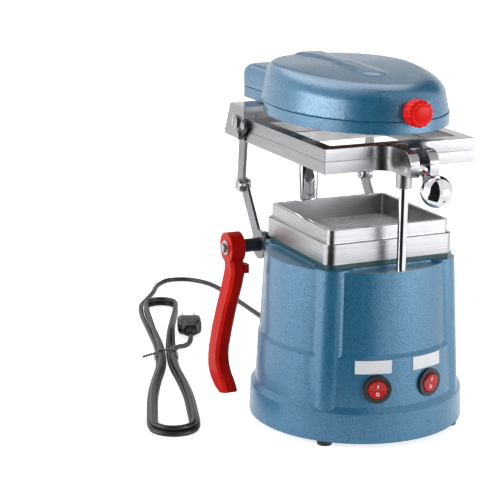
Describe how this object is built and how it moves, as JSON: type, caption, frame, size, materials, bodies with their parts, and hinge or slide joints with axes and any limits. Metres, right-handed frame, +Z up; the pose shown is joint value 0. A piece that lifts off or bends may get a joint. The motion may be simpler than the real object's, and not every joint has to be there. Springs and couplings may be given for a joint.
{
  "type": "dental vacuum former",
  "caption": "Bench vacuum former for dental sheets: round cast body, perforated tray, hinged clamp frame on post and rod, crank handle, swinging heater head and mains cord.",
  "frame": {"origin": "on the table under the middle of the round body, in the plane of the feet", "axes": "+X towards the machine's right, +Y towards its rear post, +Z up; the switches face -Y"},
  "size_m": [0.2781, 0.5996, 0.3069],
  "materials": {
    "blue_paint": "blue hammered enamel on cast metal",
    "dark_steel": "blackened steel",
    "steel_plate": "grey brushed plated steel",
    "steel_screw": "plated steel",
    "chrome": "polished chrome plating",
    "aluminium": "brushed aluminium, polished top faces",
    "iron": "laminated iron and windings",
    "bronze": "sintered bronze",
    "rubber_black": "black rubber",
    "rubber_green": "dark green rubber",
    "plastic_black": "black plastic",
    "red_handle": "red enamel",
    "red_plastic": "glossy red plastic",
    "red_rocker": "glossy red plastic",
    "white_plate": "white film",
    "ceramic": "dark heat-proof ceramic coat",
    "element": "oxidised heating tube",
    "cable_sleeve": "woven glass sleeve",
    "brass_plated": "nickel-plated brass"
  },
  "bodies": {
    "base": {"base_plate": "dark_steel", "feet": "rubber_black", "foot_screws": "steel_screw", "body_casting": "blue_paint", "deck_gasket": "rubber_green", "tray": "aluminium", "perforated_plate": "aluminium", "plate_screws": "steel_screw", "turbine_housing": "aluminium", "turbine_seal": "rubber_black", "turbine_screws": "steel_screw", "motor_can": "dark_steel", "motor_bearings": "steel_screw", "rear_post": "chrome", "guide_rod": "chrome", "heater_cable": "cable_sleeve", "shaft_bushes": "plastic_black", "post_cap": "steel_screw", "switch_bodies": "plastic_black", "label_plates": "white_plate", "cord_gland": "rubber_black", "cord_lead": "rubber_black", "cord_hank": "rubber_black", "cord_tie": "plastic_black", "plug": "plastic_black", "plug_pins": "brass_plated"},
    "rotor": {"motor_shaft": "steel_screw", "armature": "iron", "impeller": "aluminium"},
    "crank": {"crank_shaft": "dark_steel", "crank_arm_left": "steel_plate", "crank_arm_right": "steel_plate", "handle": "red_handle", "handle_washer": "steel_screw", "handle_screw": "steel_screw", "knuckle_screws": "steel_screw"},
    "link_left": {"link_left": "steel_plate"},
    "link_right": {"link_right": "steel_plate"},
    "carriage": {"carriage": "steel_plate", "post_bush": "bronze", "link_screws": "steel_screw", "frame_screws": "steel_screw", "hinge_plates": "dark_steel", "hinge_screws": "steel_screw", "lower_frame": "aluminium", "rod_bush": "bronze", "swing_pin": "steel_screw"},
    "upper_frame": {"upper_frame": "aluminium"},
    "swing_bolt": {"swing_bolt": "chrome"},
    "ball_knob": {"ball_knob": "chrome"},
    "head": {"head_rim": "blue_paint", "head_cover": "blue_paint", "head_bush": "bronze", "cover_screws": "steel_screw", "heater_dish": "aluminium", "heater_plate": "ceramic", "heating_element": "element", "head_knob": "red_plastic"},
    "rocker_left": {"rocker_left": "red_rocker"},
    "rocker_right": {"rocker_right": "red_rocker"}
  },
  "joints": [
    {"name": "carriage_slide", "type": "slide", "parent": "base", "child": "carriage", "axis": [0, 0, -1], "range_m": [0, 0.062]},
    {"name": "crank_turn", "type": "hinge", "parent": "base", "child": "crank", "pos_m": [0, 0.0712, 0.1426], "axis": [1, 0, 0], "range_deg": [-61.2, 0.5]},
    {"name": "link_left_turn", "type": "hinge", "parent": "crank", "child": "link_left", "pos_m": [-0.0642, 0.10458, 0.19027], "axis": [1, 0, 0], "range_deg": [-0.5, 86.6]},
    {"name": "link_right_turn", "type": "hinge", "parent": "crank", "child": "link_right", "pos_m": [0.0642, 0.10458, 0.19027], "axis": [1, 0, 0], "range_deg": [-0.5, 86.6]},
    {"name": "upper_frame_hinge", "type": "hinge", "parent": "carriage", "child": "upper_frame", "pos_m": [0, 0.078, 0.2489], "axis": [-1, 0, 0], "range_deg": [0, 3.2]},
    {"name": "swing_bolt_turn", "type": "hinge", "parent": "carriage", "child": "swing_bolt", "pos_m": [0, -0.101, 0.2386], "axis": [-1, 0, 0], "range_deg": [-15, 68]},
    {"name": "ball_knob_spin", "type": "hinge", "parent": "swing_bolt", "child": "ball_knob", "pos_m": [0, -0.1266, 0.22584], "axis": [0, -0.8949, -0.4462], "continuous": true},
    {"name": "head_swing", "type": "hinge", "parent": "base", "child": "head", "pos_m": [0, 0.101, 0.275], "axis": [0, 0, 1], "range_deg": [-90, 90]},
    {"name": "rocker_left_tip", "type": "hinge", "parent": "base", "child": "rocker_left", "pos_m": [-0.0247, -0.08446, 0.0512], "axis": [-0.9598, 0.2807, 0], "range_deg": [0, 14]},
    {"name": "rocker_right_tip", "type": "hinge", "parent": "base", "child": "rocker_right", "pos_m": [0.0247, -0.08446, 0.0512], "axis": [-0.9598, -0.2807, 0], "range_deg": [0, 14]},
    {"name": "rotor_spin", "type": "hinge", "parent": "base", "child": "rotor", "pos_m": [0, 0, 0.09], "axis": [0, 0, 1], "continuous": true}
  ],
  "couplings": [
    {"joint": "crank_turn", "follows": "carriage_slide", "rad_per_m": -17.11},
    {"joint": "link_left_turn", "follows": "carriage_slide", "rad_per_m": 24.236},
    {"joint": "link_right_turn", "follows": "carriage_slide", "rad_per_m": 24.236}
  ]
}
